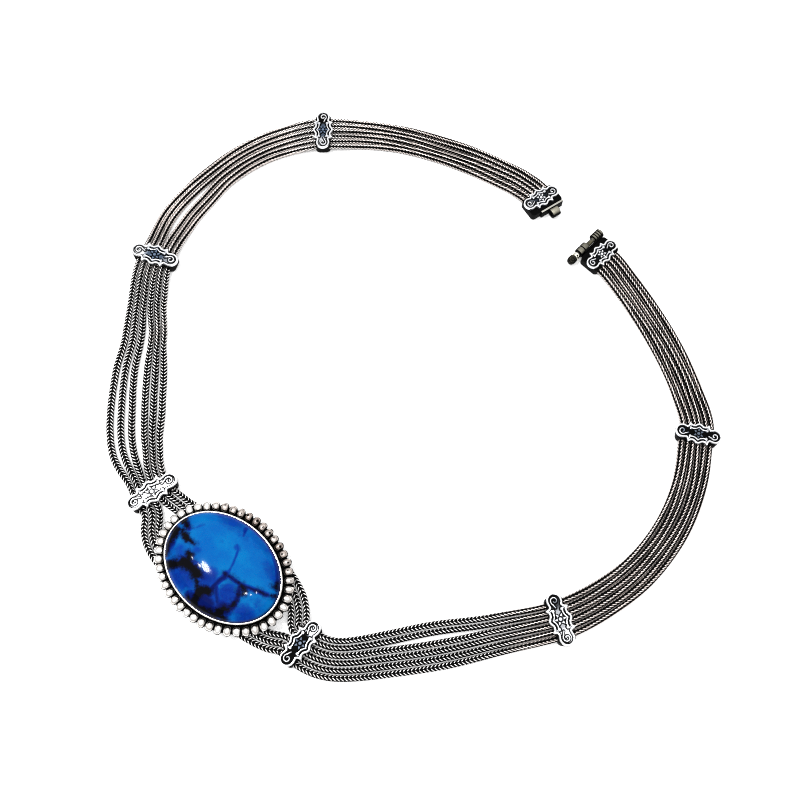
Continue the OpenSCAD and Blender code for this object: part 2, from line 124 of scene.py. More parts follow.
# Clasp ends in their own frame: +Y is the chains' side
CLASP_BACK = -3.3
CLASP_FRONT = 2.2
POCKET_END = -1.4
FLANGE_T = 0.5
FLANGE_LEN = 6.8
FLANGE_AT = 1.1
FLANGE_LOW = 0.2
FLANGE_ROUND = 0.12
FLANGE_SINK = 0.01
AXIS = np.array([0, -4.8, 1.5])
BARREL_R = 1.25
BORE_R = 0.65
PIN_R = 0.6
CATCH_X = (0, 2.4)
FAR_BARREL_X = (-5.4, -2.5)
NEAR_BARREL_X = (0.1, 3.3)
LUG_INSET = 0.15
LUG_HALF_H = 0.85
LUG_FROM = 0.2
LUG_ROUND = 0.06
LUG_SINK = 0.02
KNOB_GAP = 0.4
COLLAR_R = 0.95
COLLAR_LEN = 1.2
KNOB_R = 1.1
KNOB_LEN = 2.2
# Each end's place, turn, length of plate, station, middle of its flange, barrels with their number of ribs,
# brightness of its flange's top edge and of its barrels away from their painted highlight band, and its
# plate's looks
CLASP_ENDS = {
    "clasp_end_left": ((37.3, 55.8), 32.8, 10.4, 0, FLANGE_AT, [(CATCH_X, 0)], 0.48, 0.22,
                       (0.42, 0.34, 0.3), (0.6, 1, 0.6), (1, 0.8, 1)),
    "clasp_end_right": ((52.2, 39), -134.5, 10.2, -1, -FLANGE_AT, [(FAR_BARREL_X, 3), (NEAR_BARREL_X, 1)],
                        0.05, 0.12, (0.22, 0.28, 0.28), (0.6, 1, 0.8), (1, 0.7, 1)),
}

# Pendant
BACK_Z = 2
PLATE_Z = 2.7
STONE_Z = 2.75
STONE_HALF = np.array([15, 11])
STONE_H = 5.8
GIRDLE_H = 1.9
STONE_BEVEL = 0.3
DOME_FULLNESS = 0.8
STONE_AT = np.array([-40.6, -42.4])
STONE_TURN = -39.5
BEZEL_H = 2.3
BEAD_RING = 1.95
BEAD_D = 1.95
BEAD_SINK = 0.35
BEAD_COUNT = 45
STAPLE_OFF = 6.5
STAPLE_W = 3


# Small tools

def ease(low, high, value):
    t = np.clip((value - low) / (high - low), 0, 1)
    return t * t * (3 - 2 * t)


def fade(low, high, value):
    return 1 - ease(low, high, value)


def unit(v):
    return v / np.linalg.norm(v, axis=-1, keepdims=True)


def left_of(v):
    return np.stack([-v[..., 1], v[..., 0]], -1)


def turn_of(way):
    """Turn in degrees that takes +Y to a direction."""
    return degrees(atan2(way[1], way[0])) - 90


def signed_power(value, power):
    return np.sign(value) * abs(value) ** power


def circle(count, first=0.0):
    """Angles of even steps round a circle."""
    return (np.arange(count) + first) * 2 * pi / count


def reach_of(points):
    """Length of a line of points up to each of them."""
    return np.append(0, np.cumsum(np.linalg.norm(np.diff(points, axis=0), axis=1)))


def line_gap(x, y, path, start=0, end=0):
    """Least distance from each place to a line of points whose half width changes from start to end."""
    path = np.reshape(path, (-1, 2))
    best = np.full_like(x, np.inf)
    along = np.zeros_like(x)
    for i, (a, b) in enumerate(zip(path, path[1:])):
        d = b - a
        t = np.clip(((x - a[0]) * d[0] + (y - a[1]) * d[1]) / (d @ d or 1), 0, 1)
        gap = np.hypot(x - a[0] - t * d[0], y - a[1] - t * d[1])
        along = np.where(gap < best, (i + t) / (len(path) - 1), along)
        best = np.minimum(gap, best)
    return best - (start + (end - start) * along)


def add_object(name, data):
    obj = bpy.data.objects.new(name, data)
    scene.collection.objects.link(obj)
    return obj


class Piece:
    """Collects points, faces and shading values of one mesh object. Points are given in a frame of their
    own, at a place of the route table and turned about +Z in degrees."""

    def __init__(self, at=(0, 0), turn=0.0):
        self.at = at
        self.turn = turn
        self.points = []
        self.faces = []
        self.values = []

    def add(self, points, *faces, **values):
        count = sum(map(len, self.points))
        for block in faces:
            self.faces += (block + count).tolist()
        c = cos(radians(self.turn))
        s = sin(radians(self.turn))
        x, y, z = points.T
        self.points.append(np.stack([x * c - y * s + self.at[0], x * s + y * c + self.at[1], z], 1))
        self.values.append([np.broadcast_to(values.get(name, 0), len(points)) for name in VALUES])

    def make(self, node, look, slot, crease=None, body="necklace"):
        name = node + "_" + look
        mesh = bpy.data.meshes.new(name)
        points = np.concatenate(self.points) - [*OUTLINE_MID, 0]
        mesh.from_pydata(points * METRES, [], self.faces)
        for value, values in zip(VALUES, np.hstack(self.values)):
            layer = mesh.attributes.new(value, "FLOAT", "POINT")
            layer.data.foreach_set("value", values.astype(np.float32))
        mesh.validate()
        mesh.shade_smooth()
        if crease:
            mesh.set_sharp_from_angle(angle=radians(crease))
        mesh.materials.append(MATERIALS[slot])
        obj = add_object(name, mesh)
        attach(obj, body)
        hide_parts(node)


def band(low, high):
    """Quads between rings of points, given by the points' numbers."""
    return np.stack([low, np.roll(low, -1, -1), np.roll(high, -1, -1), high], -1).reshape(-1, 4)


def ring_quads(rings, sides, closed=False):
    """Quads between neighbouring rings of points, and from the last to the first when closed."""
    index = np.arange(rings * sides).reshape(rings, sides)
    return band(index, np.roll(index, -1, 0)) if closed else band(index[:-1], index[1:])


def fan(tip, ring):
    """Triangles between one point and a ring."""
    return np.stack([np.full(len(ring), tip), ring, np.roll(ring, -1)], 1)


def capped(rings, sides):
    """Faces of a stack of rings, closed by fans from the two points that follow the rings' own."""
    first = np.arange(sides)
    count = rings * sides
    return [ring_quads(rings, sides), fan(count, first)[:, ::-1], fan(count + 1, first + count - sides)]


def grid_quads(index):
    """Quads of a sheet of points, given by the points' numbers."""
    return np.stack([index[:-1, :-1], index[1:, :-1], index[1:, 1:], index[:-1, 1:]], -1).reshape(-1, 4)


def turned(profile, segments):
    """Rings turned about the X axis from (x, radius) pairs, and each point's angle and radius."""
    x, radius = np.repeat(profile, segments, axis=0).T
    around = np.tile(circle(segments), len(profile))
    return np.stack([x, radius * np.cos(around), radius * np.sin(around)], 1), around, radius


def cell_solid(xs, ys, zs, filled):
    """Outer faces of the filled cells of a box grid."""
    shape = (len(xs), len(ys), len(zs))
    grid = np.stack(np.meshgrid(xs, ys, zs, indexing="ij"), axis=-1).reshape(-1, 3)
    full = np.pad(filled, 1)
    quads = []
    for cell in np.argwhere(filled):
        for axis in range(3):
            for far in (1, 0):
                if full[tuple(cell + 1 + np.roll((2 * far - 1, 0, 0), axis))]:
                    continue
                loop = [(far, 0, 0), (far, far, 1 - far), (far, 1, 1), (far, 1 - far, far)]
                quads.append([np.ravel_multi_index(tuple(cell + np.roll(c, axis)), shape) for c in loop])
    used, inverse = np.unique(np.array(quads), return_inverse=True)
    return grid[used], inverse.reshape(-1, 4)


def bevelled(points, quads, width):
    """The same solid with its sharp edges rounded, as points and triangles."""
    work = bmesh.new()
    verts = [work.verts.new(p) for p in points]
    for face in quads:
        work.faces.new([verts[i] for i in face])
    work.normal_update()
    edges = [e for e in work.edges if e.is_manifold and e.calc_face_angle() > radians(SHARP)]
    bmesh.ops.bevel(work, geom=edges, offset=width, segments=BEVEL_STEPS, profile=0.5, affect="EDGES",
                    clamp_overlap=True)
    bmesh.ops.triangulate(work, faces=work.faces[:])
    work.verts.index_update()
    out = np.array([tuple(v.co) for v in work.verts])
    triangles = np.array([[v.index for v in f.verts] for f in work.faces])
    work.free()
    return out, triangles


def box_solid(low, high, width):
    """A plain block with rounded edges."""
    return bevelled(*cell_solid(*zip(low, high), np.ones((1, 1, 1))), width)


# Route functions, as in the part's source

REACH = reach_of(ROUTE[:, :2])
LAST = len(ROUTE) - 1


def route_slopes():
    """Change of each column at each station. Columns after x and y are level where their values turn."""
    station = np.arange(len(ROUTE))
    a = np.maximum(station - 1, 0)
    b = np.minimum(station + 1, LAST)
    slope = (ROUTE[b] - ROUTE[a]) / (REACH[b] - REACH[a])[:, None]
    level = (ROUTE - ROUTE[a]) * (ROUTE[b] - ROUTE) <= 0
    level[:, :SPACING] = False
    return np.where(level, 0, slope)


SLOPES = route_slopes()


def route_at(s):
    s = np.atleast_1d(s)
    leg = np.clip(np.searchsorted(REACH, s, side="right") - 1, 0, LAST - 1)
    d = (REACH[leg + 1] - REACH[leg])[:, None]
    t = (s - REACH[leg])[:, None] / d
    share = t * t * (3 - 2 * t)
    bend = t * (1 - t) * d * ((1 - t) * SLOPES[leg] - t * SLOPES[leg + 1])
    return ROUTE[leg] * (1 - share) + ROUTE[leg + 1] * share + bend


def ribbon_at(s):
    return route_at(s)[:, :2]


def heading(line, s, *side):
    """Direction of a line of places at each length of the route."""
    before = np.maximum(s - HEADING_STEP, 0)
    after = np.minimum(s + HEADING_STEP, REACH[-1])
    return unit(line(after, *side) - line(before, *side))


def bundle_at(s, side):
    row = route_at(s)
    bow = row[:, OUTER_BOW if side < 0 else INNER_BOW]
    return row[:, :2] + left_of(heading(ribbon_at, s)) * (side * BUNDLE_MID * row[:, SPACING] + bow)[:, None]


def slit_push(s, k):
    u = np.clip(abs((s - SLIT_MID) / SLIT_HALF), 0, 1)
    return (-1 if k <= SLIT_AFTER else 1) * SLIT_W / 2 * (1 - u ** 2) ** 2


def roll_of(spacing):
    room = spacing - CHAIN_GAP
    q = (1 / room ** 2 - 1 / CHAIN_W ** 2) / (1 / CHAIN_H ** 2 - 1 / CHAIN_W ** 2)
    return np.arcsin(np.sqrt(np.clip(q, 0, 1)))


def ribbon_width(spacing):
    angle = circle(CORE_SIDES, -0.5)
    roll = roll_of(spacing)
    x = CHAIN_W / 2 * np.cos(angle) * cos(roll) - CHAIN_H / 2 * np.sin(angle) * sin(roll)
    return (CHAINS - 1) * spacing + 2 * abs(x).max()


# Chains: saddle-shaped rings of wire, each pushed into the last, round a dark core. Their points look
# like a row of arrowheads that points to the pendant from both sides.

LINK_PITCH = 0.89
LINK_HALF_W = 0.66
LINK_HALF_H = 0.42
WIRE_OUT = 0.17
WIRE_ALONG = 0.145
SIDE_SWEEP = 0.4
# Squareness of a loop across and up, and roundness of its point
LINK_POWERS = (0.85, 0.8)
LINK_TIP = 0.06
# Half widths of the dark furrows on a chain's faces and along its sides, and of a rolled chain's two
SPINE = 0.13
SIDE_SPINE = 0.12
ROLLED_SPINE = (0.24, 0.2)
# How much narrower the sides' furrow makes a loop and how much lower the faces' one does, and how much
# thinner the wire is in the faces' and in the sides' furrow
PINCH_W = 0.25
PINCH_H = 0.5
THIN_WIRE = (0.35, 0.2)
# Limits between which a loop darkens towards its furrows, and a rolled one's
FACE_FADE = (0.2, 0.65)
SIDE_FADE = (0.2, 0.7)
ROLLED_FADE = (0.2, 0.6)
# Gain and offset of the bright line along the wire's outside, flat and rolled
SHINE = (1.3, 0.25)
ROLLED_SHINE = (2, 0.4)
# Stations of the route, and how much longer a rolled chain's loops lie there
STRETCH_STATIONS = [5, 10, 14, 18]
ROLLED_STRETCH = [0.9, 1.7, 1.7, 0.9]
# Limits of the roll between which a chain changes from lying apart to lying close
CLOSE_ROLL = (0.25, 0.7)
# Where a chain is rolled it also twists to and fro, by this angle and over these lengths
TWIST = 0.3
TWIST_LENGTHS = (31, 43, 37, 52, 28, 46)
# Chains that lie turned over on the left
TURNED_OVER = (1, 2)
# Roll of each chain of its own where the chains lie apart
OWN_ROLL = (0, 0.25, 0.45, 0, 0.5, 0.1)
# How brown a rolled chain is
BROWN = 0.85
# Angles round a loop, with fewer on its underside
LINK_ANGLES = [0, 22, 42, 60, 76, 90, 104, 120, 138, 158, 180, 212, 243, 270, 297, 328]
WIRE_SIDES = 6
PATH_STEPS = 2400
CORE_SHARE = (0.88, 0.8)
CORE_STEP = 1.2
CORE_SIDES = 8
CHAIN_END = 0.8
# Chains that lie apart show fuller loops, up to this factor
FULL_LINK = 1.2
FULL_ROOM = 0.06


def link_path(a):
    """Middle line of a link's wire at an angle round it, and how deep it lies in either furrow."""
    u = LINK_HALF_W * signed_power(np.cos(a), LINK_POWERS[0])
    v = LINK_HALF_H * signed_power(np.sin(a), LINK_POWERS[1])
    spine = np.exp(-(u / SPINE) ** 2)
    side_spine = np.exp(-(v / SIDE_SPINE) ** 2)
    sweep = SIDE_SWEEP * (1 - abs(v) / LINK_HALF_H)
    w = LINK_HALF_W / 2 - np.hypot(u, LINK_TIP) - sweep
    return np.stack([u * (1 - PINCH_W * side_spine), v * (1 - PINCH_H * spine), w], -1), spine, side_spine


def link_template():
    """Points of one link, and their shine where its chain lies flat and where it is rolled."""
    angle = np.radians(LINK_ANGLES)
    step = 1e-3
    middle, spine, side_spine = link_path(angle)
    along = unit(link_path(angle + step)[0] - link_path(angle - step)[0])
    out = np.stack([np.cos(angle) / LINK_HALF_W, np.sin(angle) / LINK_HALF_H, 0 * angle], -1)
    out = unit(out - along * (out * along).sum(-1, keepdims=True))
    aside = np.cross(along, out)
    size = (1 - THIN_WIRE[0] * spine - THIN_WIRE[1] * side_spine)[:, None, None]
    theta = circle(WIRE_SIDES)
    points = (middle[:, None] + out[:, None] * WIRE_OUT * size * np.cos(theta)[:, None]
              + aside[:, None] * WIRE_ALONG * size * np.sin(theta)[:, None])
    lobe = (fade(*FACE_FADE, spine) * fade(*SIDE_FADE, side_spine))[:, None]
    beside = np.exp(-abs(middle[:, :2] / ROLLED_SPINE).min(1) ** 2)
    flat = np.clip(SHINE[0] * np.cos(theta) - SHINE[1], 0, 1) * lobe
    rolled = np.clip(ROLLED_SHINE[0] * np.cos(theta) - ROLLED_SHINE[1], 0, 1) * lobe
    return points.reshape(-1, 3), flat.ravel(), (rolled * fade(*ROLLED_FADE, beside)[:, None]).ravel()


LINK_POINTS, LINK_CROWN, ROLLED_CROWN = link_template()
LINK_QUADS = ring_quads(len(LINK_ANGLES), WIRE_SIDES, closed=True)[:, ::-1]
# Depth of a link's lowest point under its middle, for a range of rolls
ROLLS = np.linspace(0, pi / 2, 31)
LINK_LOW = [-(LINK_POINTS[:, 0] * sin(a) + LINK_POINTS[:, 1] * cos(a)).min() for a in ROLLS]


def chain_curve(k):
    """Samples along one chain: place on the route, own length, middle, sideways direction, roll, fullness of
    its loops, and how far it is rolled by its neighbours."""
    side = -1 if k <= CHAINS / 2 else 1
    rank = (k - 1) % (CHAINS // 2) - 1
    s = np.linspace(0, REACH[-1], PATH_STEPS)
    row = route_at(s)
    across = left_of(heading(bundle_at, s, side))
    spacing = row[:, SPACING] + (row[:, FAN] if side < 0 else 0)
    push = rank * spacing + slit_push(s, k)
    middle = bundle_at(s, side) + across * push[:, None]
    roll = roll_of(spacing)
    twist = TWIST * np.sin(2 * pi * s / TWIST_LENGTHS[k - 1] + k)
    close = ease(*CLOSE_ROLL, roll)
    roll = roll + twist * close + OWN_ROLL[k - 1] * (1 - close)
    height = row[:, HELD] * HELD_LIFT + np.interp(roll, ROLLS, LINK_LOW)
    points = np.column_stack([middle, height])
    full = np.clip((spacing + FULL_ROOM) / CHAIN_W, 1, FULL_LINK)
    return s, reach_of(points), points, across, roll, full, close


def on_curve(curve, q, u, v):
    """Places at length q of a chain, u to the right of it and v above it before its roll."""
    length, points, across, roll, full = curve[1:6]
    x, y, z, ax, ay, angle, wide = [np.interp(q, length, row) for row in (*points.T, *across.T, roll, full)]
    right = u * wide * np.cos(angle) - v * np.sin(angle)
    up = u * wide * np.sin(angle) + v * np.cos(angle)
    return np.stack([x - ax * right, y - ay * right, z + up], -1).reshape(-1, 3)


def build_chain(k):
    curve = chain_curve(k)
    s, length = curve[:2]
    total = length[-1]
    turn_at = np.interp(REACH[MID_STATION], s, length)
    count = int((total - 2 * CHAIN_END) / LINK_PITCH)
    centres = CHAIN_END + (np.arange(count) + 0.5) * (total - 2 * CHAIN_END) / count
    piece = Piece()
    for way, mine in ((1, centres[centres < turn_at]), (-1, centres[centres >= turn_at])):
        rolled = np.interp(mine, length, curve[-1])[:, None]
        facing = -1 if way > 0 and k in TURNED_OVER else way
        stretch = np.interp(np.interp(mine, length, s), REACH[STRETCH_STATIONS], ROLLED_STRETCH)[:, None]
        q = mine[:, None] + facing * LINK_POINTS[:, 2] * (1 + stretch * rolled)
        first = np.arange(len(mine))[:, None, None] * len(LINK_POINTS)
        shine = LINK_CROWN * (1 - rolled) + ROLLED_CROWN * rolled
        piece.add(on_curve(curve, q, LINK_POINTS[:, 0], LINK_POINTS[:, 1]),
                  (first + LINK_QUADS[:, ::facing]).reshape(-1, 4),
                  crown=shine.ravel(), deep=np.repeat(BROWN * rolled, len(LINK_CROWN)))
    stations = np.linspace(CHAIN_END, total - CHAIN_END, int(total / CORE_STEP))[:, None]
    angle = circle(CORE_SIDES, 0.5)
    u = CORE_SHARE[0] * CHAIN_W / 2 * np.cos(angle)
    v = CORE_SHARE[1] * CHAIN_H / 2 * np.sin(angle)
    ring = np.arange(CORE_SIDES)[None]
    piece.add(on_curve(curve, stations, u, v), ring_quads(len(stations), CORE_SIDES)[:, ::-1], ring,
              ring[:, ::-1] + (len(stations) - 1) * CORE_SIDES)
    piece.make("chain_%d" % k, "braid", "braided_silver")


# Ornamental plate in its reference size: columns along X and rows from one edge to the other

EDGE = np.array([
    (0, 2.65), (0.35, 2.58), (0.7, 2.35), (1.05, 2.1), (1.4, 2.03), (1.75, 2.12), (2.1, 2.45),
    (2.35, 2.6), (2.5, 2.3), (2.6, 1.85), (2.85, 1.55),
])
PLATE_ROWS = 56
TIP_FROM = 5.2
TIP_STEPS = 12
TIP_LAST = 4
PLATE_COLUMN = 0.072
PLATE_UNDER = -0.05
GROUND = 3.05 - BODY_H
RIM_W = 0.46
LINE_AT = 0.98
LINE_HALF = 0.18
LINE_FADE = 0.25
INNER_FADE = 0.3
GROOVE = 0.24
WORN_GROOVE = 0.23
PANEL_HALF = 2.3
# Limits of the relief's flanks and of its bright tops, and drop and width of its rounded rim
RELIEF_FLANK = (-0.1, 0.06)
CROWN_FLANK = (-0.06, 0.04)
BARE_FLANK = (-0.1, 0.04)
RIM_DROP = 0.35
RIM_ROUND = 0.12
# Wear between which grooves narrow, and brightness between which blue gives way
WORN_LIMITS = (0.5, 0.85)
BLUE_LIMITS = (0.3, 0.7)


def on_lobe(radius, turn):
    """Places at a distance and an angle from the middle of the right lobe."""
    angle = np.radians(turn)
    return np.stack([LOBE_AT + radius * np.cos(angle), radius * np.sin(angle)], 1)


# Scroll of the right lobe: from the neck round the lobe's tip, then in to its eye
CURL = np.linspace(0, 1, 60)
SPIRAL = np.r_[[(2.5, -0.2), (2.9, -0.42)], on_lobe(0.88 - 0.62 * CURL ** 1.2, 215 + 385 * CURL)]
SCROLL_HALF = 0.17
PANEL_CURL = np.array([(1.95, 1.6), (2.2, 1.25), (2.15, 0.85), (1.85, 0.75), (1.7, 0.95)])
PANEL_CURL_HALF = 0.13
BOSS_R = 0.42
PETALS = 6
PETAL_FROM = 0.62
PETAL_TO = 1.36
PETAL_HALF = 0.36
PETAL_POWER = 0.6


def plate_grid():
    """Places of a plate in its reference size, with the height, brightness, distance from the raised parts
    and nearness to the middle of each, and its faces. The underside comes last."""
    quarter = np.r_[EDGE, on_lobe(LOBE_R, np.arange(110, -1, -5))]
    tip_from = degrees(acos((TIP_FROM - LOBE_AT) / LOBE_R))
    tip_x = on_lobe(LOBE_R, np.linspace(tip_from, TIP_LAST, TIP_STEPS + 1)[1:])[:, 0]
    flat_x = np.linspace(-TIP_FROM, TIP_FROM, int(2 * TIP_FROM / PLATE_COLUMN))
    xs = np.r_[-tip_x[::-1], flat_x, tip_x]
    off = abs(xs)
    lobe_half = np.sqrt(np.clip(LOBE_R ** 2 - (off - LOBE_AT) ** 2, 0, None))
    half = np.where(off > LOBE_AT, lobe_half, np.interp(off, *quarter.T))
    x, t = np.meshgrid(xs, np.linspace(-1, 1, PLATE_ROWS + 1), indexing="ij")
    y = half[:, None] * t
    mirror_x = abs(x)
    mirror_y = abs(y)
    edge = line_gap(mirror_x, mirror_y, quarter)
    radius = np.hypot(x, y)
    leaf = abs(np.mod(np.arctan2(y, x) * PETALS / (2 * pi), 1) - 0.5)
    taper = np.clip((PETAL_TO - radius) / (PETAL_TO - PETAL_FROM), 0.01, 1) ** PETAL_POWER
    petal = radius * leaf * 2 * pi / PETALS - PETAL_HALF * taper
    # Distance of each place from the raised parts, below zero on them
    away = np.min([
        edge - RIM_W,
        abs(edge - LINE_AT) - LINE_HALF + ease(PANEL_HALF - LINE_FADE, PANEL_HALF, mirror_x),
        line_gap(mirror_x, mirror_y, PANEL_CURL) - PANEL_CURL_HALF,
        line_gap(mirror_x, y, SPIRAL) - SCROLL_HALF,
        np.max([PETAL_FROM - radius, radius - PETAL_TO, petal], 0),
        radius - BOSS_R,
    ], 0)
    rounded = 1 - RIM_DROP * fade(0, RIM_ROUND, edge)
    height = GROUND + (PLATE_T + RELIEF_H - GROUND) * fade(*RELIEF_FLANK, away) * rounded
    crown = fade(*CROWN_FLANK, away)
    inner = ease(LINE_AT, LINE_AT + INNER_FADE, edge)
    low, high = x.size + np.arange(2 * len(xs)).reshape(2, -1)
    loops = np.column_stack([low, np.arange(x.size).reshape(x.shape), high])
    faces = [grid_quads(np.column_stack([loops, low])), loops[:1], loops[-1:, ::-1]]
    values = [np.append(top, np.full(2 * len(xs), under)) for top, under in
              ((height, PLATE_UNDER), (crown, 0), (away, -1), (inner, 0))]
    return np.r_[x.ravel(), xs, xs], np.r_[y.ravel(), -half, half], *values, faces


PLATE = plate_grid()


# Limits between a plate's lobes and its middle, in halves of its length
PART_LIMITS = (-0.5, -0.3, 0.3, 0.5)


def add_plate(piece, look, length):
    """Closed plate of this length. Its ground is drawn lighter or darker lobe by lobe, partly for wear and
    partly as painted reflection, and dark grooves beside its raised parts are narrower where it is drawn
    worn.
    """
    x, y, height, crown, away, inner, faces = PLATE
    along = x / (PLATE_REF / 2)
    # The worn values per lobe stand partly for real wear and partly for painted reflection that lights or
    # darkens a whole lobe
    worn, blue, scroll = [np.interp(along, PART_LIMITS, [a, b, b, c]) for a, b, c in look]
    groove = GROOVE + (WORN_GROOVE - GROOVE) * ease(*WORN_LIMITS, worn)
    bare = ease(*BARE_FLANK, away - groove)
    shine = crown * (1 - (1 - scroll) * inner)
    kx = length / PLATE_REF
    ky = 1 + WIDENING * (kx - 1)
    piece.add(np.stack([x * kx, y * ky, height + BODY_H], 1), *faces, crown=shine,
              wear=worn * np.maximum(bare, crown), deep=blue * fade(*BLUE_LIMITS, shine))


CORNER_STEPS = 4


def collar_solid(low, high, radius, tunnel_half, pocket_from):
    """Body between two corners of its plan, with round corners, a chamfered foot, and a flat tunnel from
    pocket_from to its +Y end."""
    near = np.linspace(0, radius, CORNER_STEPS + 1)
    xs, ys = [np.r_[a + near, b - near] for a, b in zip(low, high)]
    grid = (np.append(xs, [-tunnel_half, tunnel_half]), np.append(ys, pocket_from),
            [0, WALL, WALL + TUNNEL_H, BODY_H])
    grid = [np.unique(np.round(values, 6)) for values in grid]
    x, y, z = np.meshgrid(*[(values[:-1] + values[1:]) / 2 for values in grid], indexing="ij")
    hollow = (abs(x) < tunnel_half) & (y > pocket_from) & (z > WALL) & (z < WALL + TUNNEL_H)
    points, quads = cell_solid(*grid, ~hollow)
    middle = (high + low) / 2
    half = (high - low) / 2
    off = points[:, :2] - middle
    reach = np.clip((abs(off) - half + radius) / radius, 0, None)
    share = reach.max(1) / np.maximum(np.hypot(*reach.T), TINY)
    rounded = np.sign(off) * (half - radius + radius * reach * share[:, None])
    off = np.where((reach > 0).all(1)[:, None], rounded, off)
    foot = points[:, 2:] == 0
    points[:, :2] = middle + np.where(foot, off * (1 - FOOT_CHAMFER / half), off)
    return bevelled(points, quads, BEVEL)


def build_slide(node):
    station, plate_len, push, *look = SLIDES[node]
    s = REACH[station:station + 2].mean() + push
    tunnel = ribbon_width(ROUTE[station:station + 2, SPACING].max()) + 2 * SIDE_PLAY
    half = np.array([max(plate_len - BODY_INSET, tunnel + 2 * SIDE_WALL), BODY_W]) / 2
    piece = Piece(ribbon_at(s)[0], turn_of(heading(ribbon_at, s)[0]))
    piece.add(*collar_solid(-half, half, BODY_ROUND, tunnel / 2, -half[1]))
    add_plate(piece, look, plate_len)
    piece.make(node, "cartouche", "slide_silver", SLIDE_CREASE)


# Clasp ends: a body with a pocket, its plate, a flange, and turned barrels

BARREL_SIDES = 40
# Steps along x and down from the radius at a barrel's end, across a groove between its ribs, and in its bore
BARREL_END = [(0, 0.14), (0.056, 0.056), (0.14, 0)]
BARREL_GROOVE = [(-0.2, 0), (-0.09, 0.07), (0, 0.1), (0.09, 0.07), (0.2, 0)]
BORE_END = [(0, 0.08), (0.08, 0)]
# Depths under the radius between which a barrel darkens, and brightness and limits of the painted highlight
# band along its top-facing side
BARREL_LIMITS = (-0.09, -0.01)
BARREL_PAINTED_HIGHLIGHT = 0.32
BARREL_HIGHLIGHT_LIMITS = (0.35, 1)
BARREL_WARM = 0.8
# Depths under a flange's top between which it darkens, its own brightness and its edge's warmth
FLANGE_LIMITS = (-0.13, -0.05)
FLANGE_SHINE = 0.1
FLANGE_WARM = 0.5


def barrel_profile(x0, x1, ribs):
    """Closed loop of a barrel's section, along its outside and back through its bore."""
    outer = [(x0 + x, BARREL_R - r) for x, r in BARREL_END]
    outer += [(at + x, BARREL_R - r) for at in np.linspace(x0, x1, ribs + 2)[1:-1] for x, r in BARREL_GROOVE]
    outer += [(x1 - x, BARREL_R - r) for x, r in BARREL_END[::-1]]
    bore = [(x1 - x, BORE_R + r) for x, r in BORE_END]
    return outer + bore + [(x0 + x, BORE_R + r) for x, r in BORE_END[::-1]]


def build_clasp_end(node):
    at, turn, plate_len, station, flange_at, barrels, flange_edge, shine, *look = CLASP_ENDS[node]
    tunnel = ribbon_width(ROUTE[station, SPACING]) + 2 * TUNNEL_PLAY
    half = tunnel / 2 + WALL
    piece = Piece(at, turn)
    low, high = np.array([[-half, CLASP_BACK], [half, CLASP_FRONT]])
    piece.add(*collar_solid(low, high, CLASP_ROUND, tunnel / 2, POCKET_END))
    add_plate(piece, look, plate_len)
    low = (flange_at - FLANGE_LEN / 2, CLASP_BACK - FLANGE_T, FLANGE_LOW)
    high = (flange_at + FLANGE_LEN / 2, CLASP_BACK + FLANGE_SINK, BODY_H + RELIEF_H)
    points, triangles = box_solid(low, high, FLANGE_ROUND)
    rise = ease(*FLANGE_LIMITS, points[:, 2] - high[2])
    piece.add(points, triangles, crown=FLANGE_SHINE + flange_edge * rise, warm=FLANGE_WARM * rise)
    for span, ribs in barrels:
        profile = barrel_profile(*span, ribs)
        points, around, radius = turned(profile, BARREL_SIDES)
        # Painted highlight: a band along each barrel's top-facing side is drawn brighter
        top = ease(*BARREL_HIGHLIGHT_LIMITS, np.sin(around))
        crown = ease(*BARREL_LIMITS, radius - BARREL_R) * (shine + BARREL_PAINTED_HIGHLIGHT * top)
        piece.add(points + AXIS, ring_quads(len(profile), BARREL_SIDES, closed=True), crown=crown,
                  warm=BARREL_WARM)
        lug_low = (span[0] + LUG_INSET, AXIS[1] + BORE_R + LUG_FROM, AXIS[2] - LUG_HALF_H)
        lug_high = (span[1] - LUG_INSET, CLASP_BACK - FLANGE_T + LUG_SINK, AXIS[2] + LUG_HALF_H)
        piece.add(*box_solid(lug_low, lug_high, LUG_ROUND))
    piece.make(node, "body", "slide_silver", SLIDE_CREASE)


PIN_SIDES = 48
PIN_INSET = 0.02
# Steps along x and down from the radius at the start of the pin's shaft, along its collar, and on its knob
SHAFT_STEPS = [(0, 0.12), (0.12, 0)]
COLLAR_STEPS = [(0, 0.12), (0.04, 0.04), (0.12, 0), *[(x, 0) for x in np.linspace(0.2, 1, 12)],
                (1.1, 0.03), (1.18, 0.14), (1.25, 0.14)]
KNOB_STEPS = [(0.14, 0.1), (0.3, 0)]
DOME_FROM = 0.9
DOME_POWER = 0.6
DOME_ANGLES = np.radians(np.linspace(10, 80, 8))
# Mouth of the collar's cross hole: place along the collar, turn off +Y, limits of its edge, and its depth
HOLE_AT = 0.6
HOLE_TURN = radians(60)
HOLE_EDGE = (0.16, 0.3)
HOLE_DEPTH = 0.25
# Insets of the collar's bright part
COLLAR_INSET = (0.1, 0.05)
# Brightness of the shaft and of the collar, and wear of the knob and of the rest
PIN_SHINE = (0.25, 0.95)
PIN_WEAR = (0.15, 0.2)
# Brightness of the pin's two end points, and their wear
POLE_SHINE = [0.5, 0]
POLE_WEAR = [0.1, 0.1]


